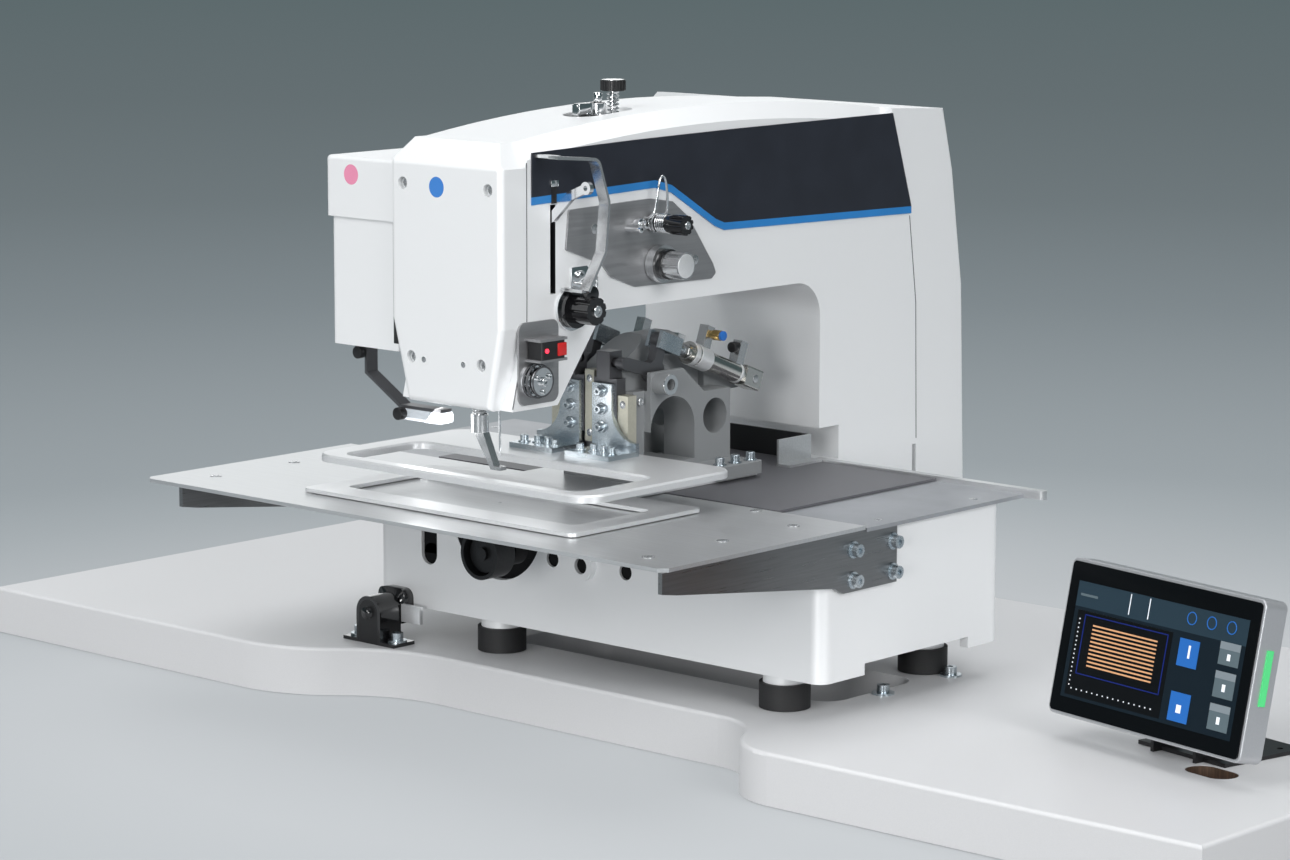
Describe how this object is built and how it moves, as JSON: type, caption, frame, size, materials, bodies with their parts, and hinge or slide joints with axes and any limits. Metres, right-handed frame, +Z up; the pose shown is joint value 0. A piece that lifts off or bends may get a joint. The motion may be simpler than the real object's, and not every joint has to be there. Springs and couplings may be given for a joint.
{
  "type": "cnc pattern sewing machine",
  "caption": "Table-mounted pattern sewing machine with an overhung arm, pneumatic clamp frame on a two-axis feed, hinged bed and tilting control panel.",
  "frame": {"origin": "on the plane of the table board's underside, at the middle of the whole part's footprint", "axes": "+X to the operator's right along the board, +Y away from the operator along the arm, +Z up"},
  "size_m": [1.276, 0.652, 0.5094],
  "materials": {
    "board": "pale laminate, satin",
    "white_paint": "cool white gloss paint",
    "dark_panel": "satin near-black film",
    "blue_stripe": "satin",
    "grey_plate": "satin grey",
    "stainless": "fine brushed",
    "dark_plate": "dark grey satin",
    "zinc": "zinc plated",
    "cast_grey": "fine cast, painted grey",
    "cream": "cream low-friction plastic",
    "clamp_alu": "satin",
    "steel": "ground",
    "dark_steel": "blackened",
    "cylinder_steel": "polished",
    "black_plastic": "satin black",
    "rubber": "matt black",
    "screen": "dark screen glass",
    "green_light": "lit green",
    "blue_glass": "clear blue",
    "pink_glass": "clear pink",
    "red_plastic": "red",
    "lamp_clear": "clear"
  },
  "bodies": {
    "table": {"table_top": "board", "hinge_straps": "zinc", "hinge_bushes": "black_plastic", "board_screws": "steel", "panel_bracket": "zinc"},
    "panel": {"panel_housing": "black_plastic", "panel_screen": "screen", "panel_light_strip": "green_light"},
    "machine": {"base_casting": "white_paint", "hinge_lugs": "cast_grey", "rubber_feet": "rubber", "arm_casting": "white_paint", "rear_cover": "white_paint", "face_cover": "white_paint", "face_cover_screws": "steel", "arm_side_panel": "dark_panel", "accent_stripe": "blue_stripe", "drive_box": "white_paint", "drive_box_cap": "white_paint", "head_sight_glass": "blue_glass", "drive_sight_glass": "pink_glass", "tension_plate": "grey_plate", "takeup_guard": "stainless", "thread_monitor_bracket": "white_paint", "thread_sensor": "red_plastic", "thread_clamp_disc": "steel", "lamp_bracket": "zinc", "lamp_head": "lamp_clear", "winder_base": "steel", "front_plate": "stainless", "throat_plate": "stainless", "plate_bracket_right": "stainless", "plate_bracket_left": "dark_plate", "plate_bracket_screws": "steel", "side_cover_plates": "dark_plate", "rear_strip": "dark_plate", "hook_bracket": "dark_plate", "bobbin_case": "steel"},
    "x_carriage": {"x_cover_plate": "dark_plate", "upright_guard": "zinc", "back_sheet": "dark_plate"},
    "y_carriage": {"clamp_arch": "cast_grey", "lower_clamp_plate": "stainless", "guide_rails": "cream"},
    "clamp": {"clamp_bracket_left": "zinc", "clamp_bracket_right": "zinc", "slide_blocks": "zinc", "upper_clamp_frame": "clamp_alu"},
    "levers": {"lift_levers": "dark_steel"},
    "cylinders": {"air_cylinders": "cylinder_steel", "air_fittings": "black_plastic"},
    "rods": {"cylinder_rods": "steel"},
    "needle": {"needle_bar": "steel"},
    "presser": {"presser_foot": "steel"},
    "takeup": {"takeup_lever": "steel"},
    "main_tension": {"main_tension_knob": "steel"},
    "pretension": {"pretension_knob": "black_plastic"},
    "check_spring": {"check_spring_knob": "steel"},
    "winder": {"winder_spindle": "black_plastic"},
    "hook": {"rotary_hook": "steel"}
  },
  "joints": [
    {"name": "machine_tilt", "type": "hinge", "parent": "table", "child": "machine", "pos_m": [-0.225, 0, 0.066], "axis": [0, -1, 0], "range_deg": [0, 50]},
    {"name": "panel_tilt", "type": "hinge", "parent": "table", "child": "panel", "pos_m": [0.48835, -0.03725, 0.1037], "axis": [0.9789, -0.2045, 0], "range_deg": [-12, 12]},
    {"name": "feed_x", "type": "slide", "parent": "machine", "child": "x_carriage", "axis": [1, 0, 0], "range_m": [-0.095, 0.095]},
    {"name": "feed_y", "type": "slide", "parent": "x_carriage", "child": "y_carriage", "axis": [0, 1, 0], "range_m": [-0.022, 0.034]},
    {"name": "clamp_lift", "type": "slide", "parent": "y_carriage", "child": "clamp", "axis": [0, 0, 1], "range_m": [-0.0195, 0]},
    {"name": "lever_swing", "type": "hinge", "parent": "y_carriage", "child": "levers", "pos_m": [-0.04, -0.071, 0.278], "axis": [1, 0, 0], "range_deg": [-0.05, 31.12]},
    {"name": "cylinder_swing", "type": "hinge", "parent": "y_carriage", "child": "cylinders", "pos_m": [-0.04, 0.046, 0.26], "axis": [1, 0, 0], "range_deg": [-0.05, 1.92]},
    {"name": "rod_slide", "type": "slide", "parent": "cylinders", "child": "rods", "axis": [0, -0.9331, 0.3596], "range_m": [-0.00005, 0.01299]},
    {"name": "needle_stroke", "type": "slide", "parent": "machine", "child": "needle", "axis": [0, 0, 1], "range_m": [-0.042, 0]},
    {"name": "takeup_swing", "type": "hinge", "parent": "machine", "child": "takeup", "pos_m": [-0.02, -0.2, 0.398], "axis": [0, 1, 0], "range_deg": [-0.05, 60.05]},
    {"name": "presser_lift", "type": "slide", "parent": "machine", "child": "presser", "axis": [0, 0, 1], "range_m": [-0.022, 0]},
    {"name": "main_tension_turn", "type": "hinge", "parent": "machine", "child": "main_tension", "pos_m": [0.007, -0.082, 0.367], "axis": [1, 0, 0], "range_deg": [-720, 720]},
    {"name": "pretension_turn", "type": "hinge", "parent": "machine", "child": "pretension", "pos_m": [0.007, -0.088, 0.4], "axis": [1, 0, 0], "range_deg": [-720, 720]},
    {"name": "check_spring_turn", "type": "hinge", "parent": "machine", "child": "check_spring", "pos_m": [0.007, -0.18, 0.34], "axis": [1, 0, 0], "range_deg": [-60, 60]},
    {"name": "winder_spin", "type": "hinge", "parent": "machine", "child": "winder", "pos_m": [-0.045, -0.075, 0.48], "axis": [0, 0, 1], "continuous": true},
    {"name": "hook_spin", "type": "hinge", "parent": "machine", "child": "hook", "pos_m": [-0.038, -0.217, 0.148], "axis": [0, 1, 0], "continuous": true}
  ],
  "couplings": [
    {"joint": "lever_swing", "follows": "clamp_lift", "rad_per_m": -27.812},
    {"joint": "cylinder_swing", "follows": "clamp_lift", "rad_per_m": -1.671},
    {"joint": "rod_slide", "follows": "clamp_lift", "ratio": -0.66387},
    {"joint": "takeup_swing", "follows": "needle_stroke", "rad_per_m": -24.933}
  ]
}
